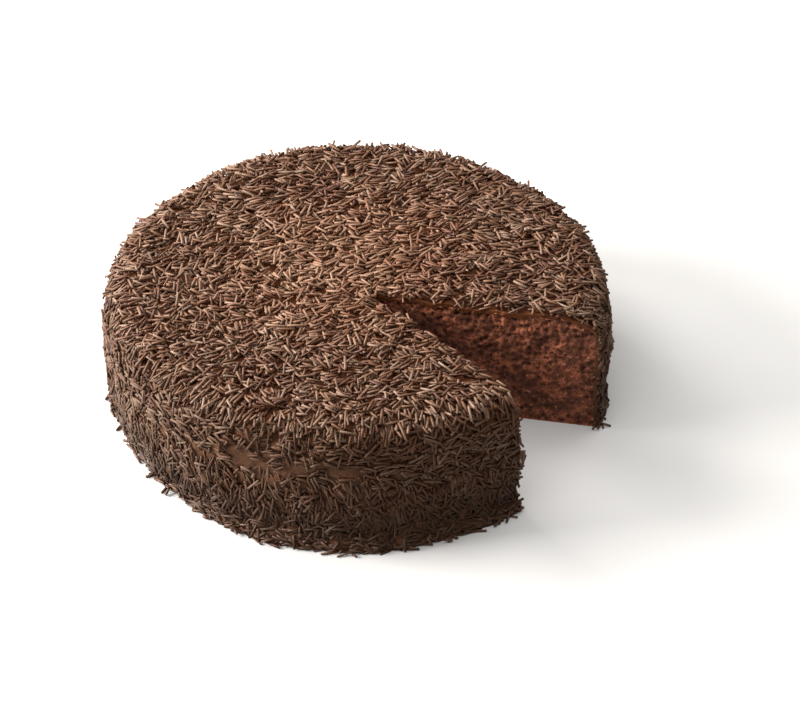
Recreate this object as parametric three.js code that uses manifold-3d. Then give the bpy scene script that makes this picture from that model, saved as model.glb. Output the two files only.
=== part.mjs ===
import * as THREE from "three";
import { mergeVertices } from "three/addons/utils/BufferGeometryUtils.js";
import Module from "manifold-3d";

// A round chocolate cake with one slice cut out of it: a baked sponge under a coat of
// brigadeiro icing that is covered all over in chocolate sprinkles.
// Millimetres, +Z up. The cake stands on z = 0, with its middle over the origin.

// The whole cake, measured over its sprinkles.
const cakeRadius = 120;
const cakeHeight = 66;

// The rounded edge between the top and the side.
const rimRun = 17;
const rimDrop = 14;

// The coat of icing and sprinkles on the sponge, and the gap that keeps the two solids apart.
const coatOnTop = 4.5;
const coatOnSide = 4;
const seam = 0.3;

// The coat spreads at the foot, more in some places than in others.
const footSpread = 1.9;
const footLeast = -0.3;
const footRise = 20;
const footRounding = 1.5;
const footWaves = [
  { lobes: 1, reach: 1.2, peak: -45 },
  { lobes: 2, reach: 1.7, peak: -70 },
  { lobes: 3, reach: 0.75, peak: 26 },
  { lobes: 5, reach: 1.55, peak: -31 },
];

// Long, shallow waves left by the spreading knife, in the side and in the top.
const sideWaves = [
  { lobes: 3, reach: 0.35, peak: 20 },
  { lobes: 7, reach: 0.3, peak: 75 },
];
const topWaveReach = 0.45;
const topWaveLength = 95;

// The missing slice: where its point lies, and the directions of its two cuts from there.
const slicePoint = new THREE.Vector2(6.8, -13.8);
const farCut = -10.6;
const nearCut = -49.3;

// How finely the round shapes are made.
const turnSteps = 72;
const sideSteps = 6;
const arcSteps = 6;
const topSteps = 6;

const coatColour = 0x3f2a22;
const spongeColour = 0x4d2217;

const wasm = await Module();
wasm.setup();

const radians = THREE.MathUtils.degToRad;

// A closed three.js geometry as a solid that can be cut.
function toSolid(geometry) {
  geometry.deleteAttribute("normal");
  geometry.deleteAttribute("uv");
  const merged = mergeVertices(geometry, 1e-4);
  const corners = merged.index.array;
  const faces = [];
  for (let i = 0; i < corners.length; i += 3) {
    const [a, b, c] = corners.slice(i, i + 3);
    if (a !== b && b !== c && c !== a) {
      faces.push(a, b, c);
    }
  }
  const mesh = new wasm.Mesh({
    numProp: 3,
    vertProperties: merged.attributes.position.array,
    triVerts: Uint32Array.from(faces),
  });
  return new wasm.Manifold(mesh);
}

// A finished solid as a named mesh of one material.
function toMesh(solid, name, colour, roughness) {
  const shape = solid.getMesh();
  const geometry = new THREE.BufferGeometry();
  geometry.setAttribute("position", new THREE.BufferAttribute(shape.vertProperties, 3));
  geometry.setIndex(new THREE.BufferAttribute(shape.triVerts, 1));
  geometry.computeVertexNormals();
  const material = new THREE.MeshStandardMaterial({ color: colour, roughness, metalness: 0 });
  const mesh = new THREE.Mesh(geometry, material);
  mesh.name = name;
  return mesh;
}

// The half outline of a round, flat-topped body, from the middle of its base up to the
// middle of its top. The edge of the top is a quarter of an ellipse, run wide and drop deep.
function roundBody({ radius, base, height, run, drop, foot }) {
  const outline = [new THREE.Vector2(0, base)];
  outline.push(new THREE.Vector2(radius - foot, base));
  const sideTop = height - drop;
  for (let i = 0; i < sideSteps; i++) {
    const rise = (i / sideSteps) ** 1.5;
    outline.push(new THREE.Vector2(radius, base + foot + (sideTop - base - foot) * rise));
  }
  for (let i = 0; i <= arcSteps; i++) {
    const turn = radians((90 * i) / arcSteps);
    const r = radius - run + run * Math.cos(turn);
    outline.push(new THREE.Vector2(r, sideTop + drop * Math.sin(turn)));
  }
  for (let i = 1; i <= topSteps; i++) {
    outline.push(new THREE.Vector2((radius - run) * (1 - i / topSteps), height));
  }
  const body = new THREE.LatheGeometry(outline, turnSteps);
  body.rotateX(Math.PI / 2);
  return body;
}

function waveSum(waves, angle) {
  return waves.reduce((sum, wave) => {
    return sum + wave.reach * Math.cos(wave.lobes * (angle - radians(wave.peak)));
  }, 0);
}

// Makes the coat's outer face as uneven as a hand-spread one.
function spreadByHand(body) {
  const place = body.attributes.position;
  for (let i = 0; i < place.count; i++) {
    const x = place.getX(i);
    const y = place.getY(i);
    const z = place.getZ(i);
    const r = Math.hypot(x, y);
    const angle = Math.atan2(y, x);
    const nearFoot = Math.max(0, 1 - z / footRise) ** 2;
    const foot = Math.max(footLeast, footSpread + waveSum(footWaves, angle)) * nearFoot;
    const side = waveSum(sideWaves, angle + z / cakeHeight);
    const widen = 1 + ((foot + side) / cakeRadius) * Math.min(1, r / (cakeRadius - rimRun));
    const across = (2 * Math.PI * x) / topWaveLength;
    const along = (2 * Math.PI * y) / topWaveLength;
    const lift = (topWaveReach * Math.sin(across) * Math.cos(along) * z) / cakeHeight;
    place.setXYZ(i, x * widen, y * widen, z + lift);
  }
  return body;
}

// The upright wedge between the two cuts, tall and long enough to pass right through.
function missingSlice() {
  const reach = 2 * cakeRadius;
  const wedge = new THREE.Shape();
  wedge.moveTo(slicePoint.x, slicePoint.y);
  for (const cut of [nearCut, farCut]) {
    const x = slicePoint.x + reach * Math.cos(radians(cut));
    const y = slicePoint.y + reach * Math.sin(radians(cut));
    wedge.lineTo(x, y);
  }
  wedge.closePath();
  const block = new THREE.ExtrudeGeometry(wedge, { depth: 2 * cakeHeight, bevelEnabled: false });
  block.translate(0, 0, -cakeHeight / 2);
  return toSolid(block);
}

const spongeShape = {
  radius: cakeRadius - coatOnSide,
  base: 0,
  height: cakeHeight - coatOnTop,
  run: rimRun - 3,
  drop: rimDrop - 2,
  foot: 0,
};
const hollowShape = {
  ...spongeShape,
  radius: spongeShape.radius + seam,
  base: -5,
  height: spongeShape.height + seam,
};
const coatShape = {
  radius: cakeRadius,
  base: 0,
  height: cakeHeight,
  run: rimRun,
  drop: rimDrop,
  foot: footRounding,
};

const slice = missingSlice();
const sponge = toSolid(roundBody(spongeShape)).subtract(slice);
const hollow = toSolid(roundBody(hollowShape));
const coat = toSolid(spreadByHand(roundBody(coatShape))).subtract(hollow).subtract(slice);

const group = new THREE.Group();
group.add(toMesh(sponge, "sponge", spongeColour, 0.9));
group.add(toMesh(coat, "icing_coat", coatColour, 0.6));

const extent = new THREE.Box3().setFromObject(group);
const middle = extent.getCenter(new THREE.Vector3());
group.position.set(-middle.x, -middle.y, -extent.min.z);

export default group;
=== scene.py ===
# %% [markdown]
# # A brigadeiro chocolate cake with one slice cut out
#
# This lesson builds a round chocolate cake in Blender. Its cocoa sponge is baked in a tin, spread with
# brigadeiro icing and covered all over in long chocolate sprinkles, and one slice has been taken out.
# The two solid pieces, the sponge and its coat, already exist as plain CAD solids. They say how large
# everything is and where it lies. Here each of them gets its real surface.

# %% Load the frame
import math

import bmesh
import bpy
import numpy as np
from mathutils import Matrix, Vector, noise
from mathutils.bvhtree import BVHTree


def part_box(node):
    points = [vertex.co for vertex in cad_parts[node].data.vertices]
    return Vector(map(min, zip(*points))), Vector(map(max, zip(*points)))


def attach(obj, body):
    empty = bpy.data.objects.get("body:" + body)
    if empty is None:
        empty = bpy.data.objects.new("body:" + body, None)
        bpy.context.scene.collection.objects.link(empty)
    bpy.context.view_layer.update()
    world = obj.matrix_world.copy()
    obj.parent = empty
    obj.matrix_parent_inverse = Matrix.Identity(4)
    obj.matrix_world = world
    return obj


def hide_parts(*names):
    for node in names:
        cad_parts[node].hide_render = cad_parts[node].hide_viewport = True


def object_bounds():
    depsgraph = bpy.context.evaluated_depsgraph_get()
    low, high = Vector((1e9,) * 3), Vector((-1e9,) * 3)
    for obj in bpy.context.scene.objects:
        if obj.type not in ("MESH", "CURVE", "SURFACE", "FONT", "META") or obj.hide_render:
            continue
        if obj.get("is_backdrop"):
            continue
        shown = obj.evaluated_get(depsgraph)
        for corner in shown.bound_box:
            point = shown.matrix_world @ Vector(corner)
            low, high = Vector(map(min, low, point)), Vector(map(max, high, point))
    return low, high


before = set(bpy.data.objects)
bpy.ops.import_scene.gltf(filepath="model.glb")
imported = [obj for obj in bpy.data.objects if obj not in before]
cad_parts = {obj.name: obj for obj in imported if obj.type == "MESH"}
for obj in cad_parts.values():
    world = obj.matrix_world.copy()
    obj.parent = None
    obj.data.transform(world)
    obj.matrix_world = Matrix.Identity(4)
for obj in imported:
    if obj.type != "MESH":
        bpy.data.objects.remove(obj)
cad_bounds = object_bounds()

MM = 0.001
print("nodes:", sorted(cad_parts))

# %% [markdown]
# ## The sizes that everything else comes from
#
# The sponge is a true round from a tin, so the middle of its box is the cake's axis. The coat is 4 mm
# thick on the side and 4.5 mm on the top. The rounded edge and the two cuts repeat the CAD part's own
# sizes, so that the pieces made here fit the solids that they stand for.

# %% Driving sizes
COAT_ON_SIDE, COAT_ON_TOP = 4 * MM, 4.5 * MM

tin_low, tin_high = (Vector(corner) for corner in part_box("sponge"))
axis_x, axis_y = (tin_low.x + tin_high.x) / 2, (tin_low.y + tin_high.y) / 2
tin_radius = (tin_high.x - tin_low.x) / 2
sponge_height = tin_high.z
cake_radius = tin_radius + COAT_ON_SIDE
cake_height = sponge_height + COAT_ON_TOP
rim_run = 17 * MM
rim_drop = 14 * MM

slice_point = (axis_x + 6.8 * MM, axis_y - 13.8 * MM)
far_cut = math.radians(-10.6)
near_cut = math.radians(-49.3)
CUTS = (far_cut, near_cut)


def off_cut(x, y, cut, point=slice_point):
    """How far places are off the plane of a cut from a point, and how far ahead along it."""
    dx, dy = x - point[0], y - point[1]
    return -math.sin(cut) * dx + math.cos(cut) * dy, math.cos(cut) * dx + math.sin(cut) * dy


def in_slice(x, y, margin=0.0, point=slice_point):
    """True where a place lies inside the missing slice, past a margin from its cuts."""
    off_far, off_near = (off_cut(x, y, cut, point)[0] for cut in CUTS)
    return (off_far < -margin) & (off_near > margin)


print(f"cake {2 * cake_radius / MM:.0f} mm across, {cake_height / MM:.1f} mm high")

# %% [markdown]
# ## The camera
#
# The cake is seen from 38 degrees above the table, through a long lens that keeps its shape calm. The
# camera aims along that direction and is moved sideways and up until the cake sits a little left of the
# middle, so the lens needs no shift.

# %% Camera
CAMERA_RISE = math.radians(38)
LENS = 133.7
# In cake radii: how far off the camera stands, and how far it is moved to the right and up.
CAMERA_REACH, MOVED_RIGHT, MOVED_UP = 12.0, 0.168, 0.094

toward_camera = Vector((0, -math.cos(CAMERA_RISE), math.sin(CAMERA_RISE)))
camera_right = Vector((1, 0, 0))
camera_up = Vector((0, math.sin(CAMERA_RISE), math.cos(CAMERA_RISE)))
cake_foot = Vector((axis_x, axis_y, 0))
bpy.ops.object.camera_add()
camera = bpy.context.object
camera.data.lens = LENS
camera.data.clip_end = 20
camera.rotation_euler = (math.pi / 2 - CAMERA_RISE, 0, 0)
camera.location = cake_foot + cake_radius * (
    CAMERA_REACH * toward_camera + MOVED_RIGHT * camera_right + MOVED_UP * camera_up
)
bpy.context.scene.camera = camera
print("camera at", [round(c, 3) for c in camera.location])

# %% [markdown]
# ## Light
#
# A soft box stands low to the cake's left, so the left side is bright and the front falls into shade.
# Two weaker ones behind the cake put a sheen on the sprinkles that lie on top. A very broad one straight
# above whitens the floor and softens every shadow, and a faint sky reaches what it can't. Colours are
# shown as they are, with the Standard view.

# %% Studio light
bpy.context.scene.view_settings.view_transform = "Standard"

world = bpy.data.worlds.new("studio")
bpy.context.scene.world = world
world.use_nodes = True
sky = world.node_tree.nodes["Background"]
sky.inputs["Color"].default_value = (1, 0.94, 0.87, 1)
sky.inputs["Strength"].default_value = 0.08


def soft_box(name, turn, rise, reach, width, height, power, colour):
    """A rectangular area light, placed by its directions from the cake and aimed at it."""
    turn, rise = math.radians(turn), math.radians(rise)
    aim = Vector((
        math.cos(rise) * math.cos(turn), math.cos(rise) * math.sin(turn), math.sin(rise)
    ))
    place = Vector((0, 0, cake_height)) + reach * aim
    bpy.ops.object.light_add(type="AREA", location=place)
    lamp = bpy.context.object
    lamp.name = name
    lamp.data.shape = "RECTANGLE"
    lamp.data.size = width
    lamp.data.size_y = height
    lamp.data.energy = power
    lamp.data.color = colour
    lamp.rotation_euler = aim.to_track_quat("Z", "Y").to_euler()


WARM_WHITE, PALE_WHITE = (1, 0.97, 0.93), (1, 0.985, 0.965)
soft_box("key", 180, 20, 1.4, 0.7, 0.7, 64, WARM_WHITE)
soft_box("back_left", 140, 35, 1.4, 0.7, 0.7, 21, WARM_WHITE)
soft_box("back_right", 45, 40, 1.5, 1.0, 0.7, 4.5, WARM_WHITE)
soft_box("overhead", -90, 86, 2.2, 3.0, 3.0, 73, PALE_WHITE)

# %% [markdown]
# ## Writing materials as expressions
#
# A material is a net of nodes. Wiring it by hand is long, so one small class wraps a node's output and
# lets it be added and multiplied like a number. Every other node comes from one method, which sets the
# node up first and then gives values or links to its sockets.

# %% A socket that does sums
def maths(operation, flipped=False):
    def join(self, other):
        pair = (other, self) if flipped else (self, other)
        return self.shader.add("Math", {"operation": operation}, dict(enumerate(pair)))

    return join


class Wire:
    """One output of a node, to be used in expressions on values."""

    def __init__(self, shader, socket):
        self.shader = shader
        self.socket = socket

    __add__ = maths("ADD")
    __radd__ = maths("ADD", True)
    __sub__ = maths("SUBTRACT")
    __rsub__ = maths("SUBTRACT", True)
    __mul__ = maths("MULTIPLY")
    __rmul__ = maths("MULTIPLY", True)


# %% A material built by one method
class Shader:
    """A material, its nodes added one by one."""

    def __init__(self, name):
        self.material = bpy.data.materials.new(name)
        self.material.use_nodes = True
        self.tree = self.material.node_tree
        self.surface = self.tree.nodes["Principled BSDF"]

    def feed(self, node, sockets):
        for name, value in sockets.items():
            if isinstance(value, Wire):
                self.tree.links.new(value.socket, node.inputs[name])
            else:
                node.inputs[name].default_value = value

    def add(self, kind, settings, sockets, output=0):
        node = self.tree.nodes.new("ShaderNode" + kind)
        stops = settings.pop("stops", None)
        for name, value in settings.items():
            setattr(node, name, value)
        if stops:
            ramp = node.color_ramp.elements
            for _ in stops[2:]:
                ramp.new(0.5)
            for stop, (place, colour) in zip(ramp, stops):
                stop.position = place
                stop.color = (*colour, 1)
        self.feed(node, sockets)
        return Wire(self, node.outputs[output])

    def object_place(self):
        return self.add("TexCoord", {}, {}, "Object")

    def height(self, place):
        return self.add("SeparateXYZ", {}, {"Vector": place}, "Z")

    def attribute(self, name):
        return self.add("Attribute", {"attribute_name": name}, {}, "Fac")

    def noise(self, place, size, detail=3.0):
        """Cloudy noise whose features are about size metres across."""
        return self.add("TexNoise", {}, {"Vector": place, "Scale": 1 / size, "Detail": detail})

    def ramp(self, value, *stops):
        return self.add("ValToRGB", {"stops": list(stops)}, {"Fac": value})

    def fade(self, value, low, high):
        """0 below low and 1 above high."""
        settings = {"interpolation_type": "SMOOTHSTEP"}
        return self.add("MapRange", settings, {"Value": value, "From Min": low, "From Max": high})

    def mix(self, factor, first, second, blend="MIX"):
        """Two colours, mixed."""
        settings = {"data_type": "RGBA", "blend_type": blend}
        colours = [c if isinstance(c, Wire) else (*c, 1) for c in (first, second)]
        return self.add("Mix", settings, {0: factor, 6: colours[0], 7: colours[1]}, 2)

    def tinted(self, colour, tint):
        return self.mix(1.0, colour, tint, "MULTIPLY")

    def bump(self, height, distance, strength):
        return self.add("Bump", {}, {"Height": height, "Distance": distance, "Strength": strength})


print("shader helpers ready")

# %% [markdown]
# ## The chocolate of the sprinkles
#
# A sprinkle is matt milk and dark chocolate with a soft sheen. No two are quite the same: each has a
# tone of its own, kept as a number on its mesh, that makes it lighter or darker. Towards the middle of
# the top the brown is also a little warmer. The faint grain of the extruded thread is a bump. There are
# three finishes. The loose ones are the lightest. The ones pressed into the side are duller, and darker
# both from a film of icing and from painted shade for the side that stands in shade. Low on the cake a
# second painted shade darkens them further. The ones round the foot are loose ones under that painted
# low shade, so they come in between.

# %% Sprinkle chocolate
TONES = ((0.058, 0.0138, 0.0025), (0.110, 0.0422, 0.0150), (0.186, 0.112, 0.073))
WARM_PLACE = (axis_x - 6 * MM, axis_y + 6 * MM, cake_height)
WARM_WITHIN, WARM_UP_TO = 25 * MM, 90 * MM
WARM_TINT = (1.15, 0.985, 0.86)
# Painted shade low on the cake: full below the first height, gone above the second.
PAINTED_SHADE_FULL_BELOW, PAINTED_SHADE_GONE_ABOVE = 12 * MM, 30 * MM


def sprinkle_chocolate(name, shade, gloss, roughness, painted_low_shade=(1, 1, 1)):
    """Chocolate in one shade, darkened by painted shade where it lies low on the cake."""
    shader = Shader(name)
    place = shader.object_place()
    dark, middle, light = (tuple(np.multiply(shade, tone)) for tone in TONES)
    own = shader.ramp(shader.attribute("tone"), (0.0, dark), (0.5, middle), (1.0, light))
    away = shader.add("VectorMath", {"operation": "DISTANCE"}, {0: place, 1: WARM_PLACE}, "Value")
    warm = shader.tinted(own, WARM_TINT)
    colour = shader.mix(shader.fade(away, WARM_WITHIN, WARM_UP_TO), warm, own)
    # Painted shade: the colour darkens low on the cake, where less light reaches.
    out_of_painted_shade = shader.fade(shader.height(place), PAINTED_SHADE_FULL_BELOW, PAINTED_SHADE_GONE_ABOVE)
    grain = shader.noise(place, 0.7 * MM, 2.0)
    shader.feed(shader.surface, {
        "Base Color": shader.mix(out_of_painted_shade, shader.tinted(colour, painted_low_shade), colour),
        "Roughness": roughness + 0.16 * grain,
        "Normal": shader.bump(grain, 0.05 * MM, 0.5),
        "Specular IOR Level": gloss,
        "Specular Tint": (1.0, 0.96, 0.91, 1),
    })
    return shader.material


# Pressed brown: darker from a film of icing and from painted shade of the shaded side.
BROWN, FILMED_AND_SHADED_BROWN = (0.95, 0.945, 0.94), (0.59, 0.57, 0.545)
loose_chocolate = sprinkle_chocolate("loose_chocolate", BROWN, 0.5, 0.5)
pressed_shaded_chocolate = sprinkle_chocolate(
    "pressed_shaded_chocolate", FILMED_AND_SHADED_BROWN, 0.28, 0.52, (0.57, 0.56, 0.575)
)
# All sprinkles round the foot lie low, so they all get this painted low shade.
foot_chocolate = sprinkle_chocolate("foot_chocolate", BROWN, 0.5, 0.45, (0.76, 0.73, 0.75))

# %% [markdown]
# ## Brigadeiro icing
#
# Brigadeiro is condensed milk boiled down with cocoa: thick, smooth and a little shiny. It shows in the
# gaps between the sprinkles, in a few bare places on the side and as a band at the cuts. Deep in the
# heap on the top it is made redder, because the light there has bounced between brown sprinkles.

# %% Icing
RED_ABOVE, REDDEST_ABOVE = 52 * MM, 60 * MM


def brigadeiro_icing():
    shader = Shader("brigadeiro_icing")
    place = shader.object_place()
    cloud = shader.noise(place, 6 * MM)
    fine = shader.noise(place, 1.6 * MM, 4.0)
    spread = shader.ramp(cloud, (0.3, (0.050, 0.0195, 0.0085)), (0.7, (0.088, 0.0385, 0.0190)))
    on_top = shader.fade(shader.height(place), RED_ABOVE, REDDEST_ABOVE)
    shader.feed(shader.surface, {
        "Base Color": shader.mix(on_top, spread, shader.tinted(spread, (1.15, 0.8, 0.52))),
        "Roughness": 0.5 + 0.2 * fine,
        "Specular IOR Level": 0.15,
        "Normal": shader.bump(0.8 * cloud + 0.2 * fine, 1.6 * MM, 0.8),
        "Specular Tint": (1.0, 0.88, 0.78, 1),
    })
    return shader.material


# %% [markdown]
# ## Cocoa crumb
#
# The cut shows an open, moist crumb. It is a reddish brown, because cocoa reddens as it bakes. The
# bottoms of its pores are painted darker than the crumb between them, as painted shade where less light
# reaches, so the colour follows a number that says how deep each point lies in the pores.

# %% Sponge
def cocoa_crumb():
    shader = Shader("cocoa_crumb")
    place = shader.object_place()
    patch = shader.noise(place, 7 * MM, 4.0)
    speck = shader.noise(place, 0.9 * MM, 4.0)
    crumb = shader.ramp(
        patch, (0.36, (0.095, 0.034, 0.019)), (0.5, (0.180, 0.058, 0.031)),
        (0.64, (0.34, 0.110, 0.056)),
    )
    dotted = shader.mix(shader.fade(speck, 0.5, 0.66), crumb, (0.075, 0.025, 0.014))
    # Lighter specks: lighter crumbs, partly painted highlights standing for glints on the moist crumb.
    light_specks_and_glints = shader.fade(shader.noise(place, 1.7 * MM, 2.0), 0.58, 0.68)
    dotted = shader.mix(0.6 * light_specks_and_glints, dotted, (0.42, 0.175, 0.105))
    shader.feed(shader.surface, {
        # Painted shade in the pores: darker where a corner lies deep.
        "Base Color": shader.mix(shader.attribute("pore_shade"), dotted, (0.055, 0.016, 0.009)),
        "Roughness": 0.78 + 0.2 * patch,
        "Normal": shader.bump(speck + 0.6 * patch, 0.6 * MM, 0.9),
        "Specular IOR Level": 0.3,
        "Specular Tint": (1.0, 0.86, 0.76, 1),
    })
    return shader.material


# %% [markdown]
# ## The floor
#
# The cake stands on plain white card. Only a faint mottle tells it from a flat colour.

# %% Floor
def white_card():
    shader = Shader("white_card")
    mottle = shader.noise(shader.object_place(), 30 * MM)
    shader.feed(shader.surface, {
        "Base Color": shader.ramp(mottle, (0.3, (0.552, 0.55, 0.547)), (0.7, (0.562, 0.56, 0.557))),
        "Roughness": 0.6 + 0.1 * mottle,
        "Specular IOR Level": 0.2,
    })
    return shader.material


bpy.ops.mesh.primitive_plane_add(size=8)
floor = bpy.context.object
floor.name = "floor"
floor.data.materials.append(white_card())
floor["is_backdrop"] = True
icing_finish, crumb_finish = brigadeiro_icing(), cocoa_crumb()
print("materials:", [m.name for m in bpy.data.materials])

# %% [markdown]
# ## Small helpers
#
# Blender's operators act on whatever is selected, so every step starts by selecting one piece alone. In
# edit mode, faces and edges are picked in code by a test on their place. A modifier is added, set and
# applied in one go.

# %% Helpers
def only(piece):
    bpy.ops.object.select_all(action="DESELECT")
    piece.select_set(True)
    bpy.context.view_layer.objects.active = piece


def edit(piece, kind):
    """Enters edit mode on one piece, in vertex, edge or face mode, with nothing selected."""
    only(piece)
    bpy.ops.object.mode_set(mode="EDIT")
    bpy.ops.mesh.select_mode(type=kind)
    bpy.ops.mesh.select_all(action="DESELECT")


def pick(piece, parts, test):
    """Selects the vertices, edges or faces of the piece in edit mode that pass a test."""
    shell = bmesh.from_edit_mesh(piece.data)
    for part in getattr(shell, parts):
        part.select_set(bool(test(part)))
    shell.select_flush_mode()
    bmesh.update_edit_mesh(piece.data)


def apply_modifier(piece, kind, **settings):
    only(piece)
    modifier = piece.modifiers.new(kind.title(), kind)
    for name, value in settings.items():
        setattr(modifier, name, value)
    bpy.ops.object.modifier_apply(modifier=modifier.name)


def mend(piece):
    """Merges doubled corners and turns every face outwards."""
    edit(piece, "VERT")
    bpy.ops.mesh.select_all(action="SELECT")
    bpy.ops.mesh.remove_doubles(threshold=0.005 * MM)
    bpy.ops.mesh.normals_make_consistent(inside=False)
    bpy.ops.object.mode_set(mode="OBJECT")


def places_of(piece):
    flat = np.empty(3 * len(piece.data.vertices))
    piece.data.vertices.foreach_get("co", flat)
    return flat.reshape(-1, 3)


def set_places(piece, places):
    piece.data.vertices.foreach_set("co", places.astype(np.float32).ravel())
    piece.data.update()


def triangles(piece):
    return sum(len(p.vertices) - 2 for p in piece.data.polygons)


# %% [markdown]
# ## Measuring a surface
#
# The CAD coat was spread unevenly, as by hand, and both the icing and the sprinkles must follow it. So
# it is measured: rays are sent in from just outside, along the outline from the middle of the top down
# to the foot, all the way round. Each ray says how far the coat stands off a perfectly even cake there.
# Where the slice is missing there is nothing to hit, and the two sides are blended across. The lumpy
# icing made below is measured in the same way, because the sprinkles come to lie on it.

# %% The even outline
RIM_STEPS = 48
rim_turn = np.linspace(np.pi / 2, 0, RIM_STEPS)
outline_r = np.concatenate([
    [0], cake_radius - rim_run + rim_run * np.cos(rim_turn), [cake_radius]
])
outline_z = np.concatenate([
    [cake_height], cake_height - rim_drop + rim_drop * np.sin(rim_turn), [0]
])
outline_s = np.concatenate([[0], np.cumsum(np.hypot(np.diff(outline_r), np.diff(outline_z)))])
skin_length = outline_s[-1]
flat_end = outline_s[1]
rim_end = outline_s[RIM_STEPS]
print(f"from the middle of the top to the foot: {skin_length / MM:.0f} mm")


def even_outline(s):
    """Radius, height and outward direction of the even cake at a distance along its outline."""
    r, z = np.interp(s, outline_s, outline_r), np.interp(s, outline_s, outline_z)
    lean = np.interp(s, [flat_end, rim_end], [np.pi / 2, 0])
    return r, z, np.cos(lean), np.sin(lean)


def turn_between(turn, other):
    """The angle from one direction to another, between minus and plus half a turn."""
    return (turn - other + np.pi) % (2 * np.pi) - np.pi


# %% Measure how far a surface stands off it
REACH_OUT = 12 * MM
LOWEST_RAY = 1.6 * MM


def measure(piece, s_steps, turn_steps):
    """A table over outline distance and turn of how far a piece stands off the even cake."""
    mesh = piece.data
    tree = BVHTree.FromPolygons(
        [v.co.copy() for v in mesh.vertices], [tuple(p.vertices) for p in mesh.polygons]
    )
    s, turn = np.meshgrid(
        np.linspace(0, skin_length, s_steps + 1),
        np.linspace(0, 2 * np.pi, turn_steps + 1), indexing="ij",
    )
    r, z, out_r, out_z = even_outline(s)
    out = np.stack([out_r * np.cos(turn), out_r * np.sin(turn), out_z], axis=-1)
    place = np.stack([
        axis_x + r * np.cos(turn), axis_y + r * np.sin(turn), np.maximum(z, LOWEST_RAY)
    ], axis=-1)
    hits = [
        tree.ray_cast(start, way, 2 * REACH_OUT)[3]
        for start, way in zip((place + REACH_OUT * out).reshape(-1, 3), -out.reshape(-1, 3))
    ]
    table = REACH_OUT - np.array(hits, dtype=float).reshape(s.shape)
    for row, row_turn in zip(table, turn):
        known = ~np.isnan(row)
        if known.any():
            row[~known] = np.interp(row_turn[~known], row_turn[known], row[known], period=2 * np.pi)
    table[0] = table[1].mean()
    print(f"{piece.name} stands off {table.min() / MM:.1f} to {table.max() / MM:.1f} mm")
    return table


def read_table(table, s, turn):
    """Reads a table made by measure, with straight blends between its entries."""
    s_steps, turn_steps = table.shape[0] - 1, table.shape[1] - 1
    row = np.clip(s / skin_length, 0, 1) * s_steps
    column = (turn / (2 * np.pi) % 1) * turn_steps
    i = np.minimum(row.astype(int), s_steps - 1)
    j = np.minimum(column.astype(int), turn_steps - 1)
    a, b = row - i, column - j
    low = table[i, j] * (1 - b) + table[i, j + 1] * b
    high = table[i + 1, j] * (1 - b) + table[i + 1, j + 1] * b
    return low * (1 - a) + high * a


coat_table = measure(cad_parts["icing_coat"], 90, 180)


# %% Places and directions on the coat
def skin_place(s, turn, sunk=0.0):
    """Points on the coat's outer face, or sunk below it."""
    r, z, out_r, out_z = even_outline(s)
    off = read_table(coat_table, s, turn) - sunk
    r, z = r + off * out_r, z + off * out_z
    return np.stack([axis_x + r * np.cos(turn), axis_y + r * np.sin(turn), z], axis=-1)


def unit(vectors):
    return vectors / np.maximum(np.linalg.norm(vectors, axis=-1, keepdims=True), 1e-12)


def skin_frame(s, turn):
    """Points on the coat, with the directions down its outline, round it and out of it."""
    step = 1.5 * MM
    place = skin_place(s, turn)
    down = unit(skin_place(s + step, turn) - skin_place(np.maximum(s - step, 0), turn))
    r = np.hypot(place[..., 0] - axis_x, place[..., 1] - axis_y)
    round_step = step / np.maximum(r, 10 * MM)
    along = unit(skin_place(s, turn + round_step) - skin_place(s, turn - round_step))
    out = unit(np.cross(down, along))
    return place, down, unit(np.cross(out, down)), out


# %% [markdown]
# ## Where the icing shows bare
#
# On the side the icing is a wall, and not every handful of sprinkles sticks. A few smooth places stay
# almost bare. There the icing comes up nearly as far as the sprinkles. The ones at the front are listed
# one by one and the ones at the back are scattered.

# %% Bare places
rng = np.random.default_rng(2024)
front_turns = np.radians([-137, -124, -116, -108, -101, -91, -67])
front_heights = np.array([38, 40, 43, 38, 44, 42, 31]) * MM
front_widths = np.array([4, 7, 8, 10, 8, 7, 5]) * MM
BACK_BARE = 9
bare_turns = np.concatenate([front_turns, rng.uniform(np.radians(-5), np.radians(200), BACK_BARE)])
bare_heights = np.concatenate([front_heights, rng.uniform(22, 46, BACK_BARE) * MM])
bare_widths = np.concatenate([front_widths, rng.uniform(4, 8, BACK_BARE) * MM])
BARE_FLATNESS, BARE_REACH, BARE_WOBBLE = 0.6, 1.6, 0.22


def bareness(s, turn):
    """1 in the middle of a bare place, falling to 0 at its wavy border."""
    r, z, _, _ = even_outline(s)
    bare = np.zeros(np.broadcast(s, turn).shape)
    for bare_turn, height, width in zip(bare_turns, bare_heights, bare_widths):
        aside = turn_between(turn, bare_turn)
        wobble = 1 + BARE_WOBBLE * np.sin(3 * aside * r / width + 40 * height / MM)
        away = np.hypot(aside * r / width, (z - height) / (BARE_FLATNESS * width)) * wobble
        bare = np.maximum(bare, np.clip(BARE_REACH - away, 0, 1))
    return bare


print("bare places:", len(bare_turns))

# %% [markdown]
# ## How deep the icing lies
#
# On the top the icing lies deep under a loose heap of sprinkles, and on the side, where they are pressed
# in, just below their outer face. It draws in a little above the foot, where the knife turned, and at
# the front left the whole foot is narrower. Where the heap ends, over the start of the rounded edge, is
# a band that the sprinkles hang over like a fringe.

# %% Depth of the icing
FRINGE_START, FRINGE_END = flat_end + 4 * MM, flat_end + 13 * MM
ICING_DEPTH_TOP, ICING_DEPTH_SIDE, BARE_LIFT = 3.7 * MM, 1.5 * MM, 0.6
TUCK_DEPTH, TUCK_HEIGHT, TUCK_SPREAD = 1.2 * MM, 9 * MM, 5 * MM
NARROW_TURN, NARROW_SPREAD = math.radians(-148), math.radians(22)
NARROW_DEPTH, NARROW_RISE = 2 * MM, 24 * MM


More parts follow.
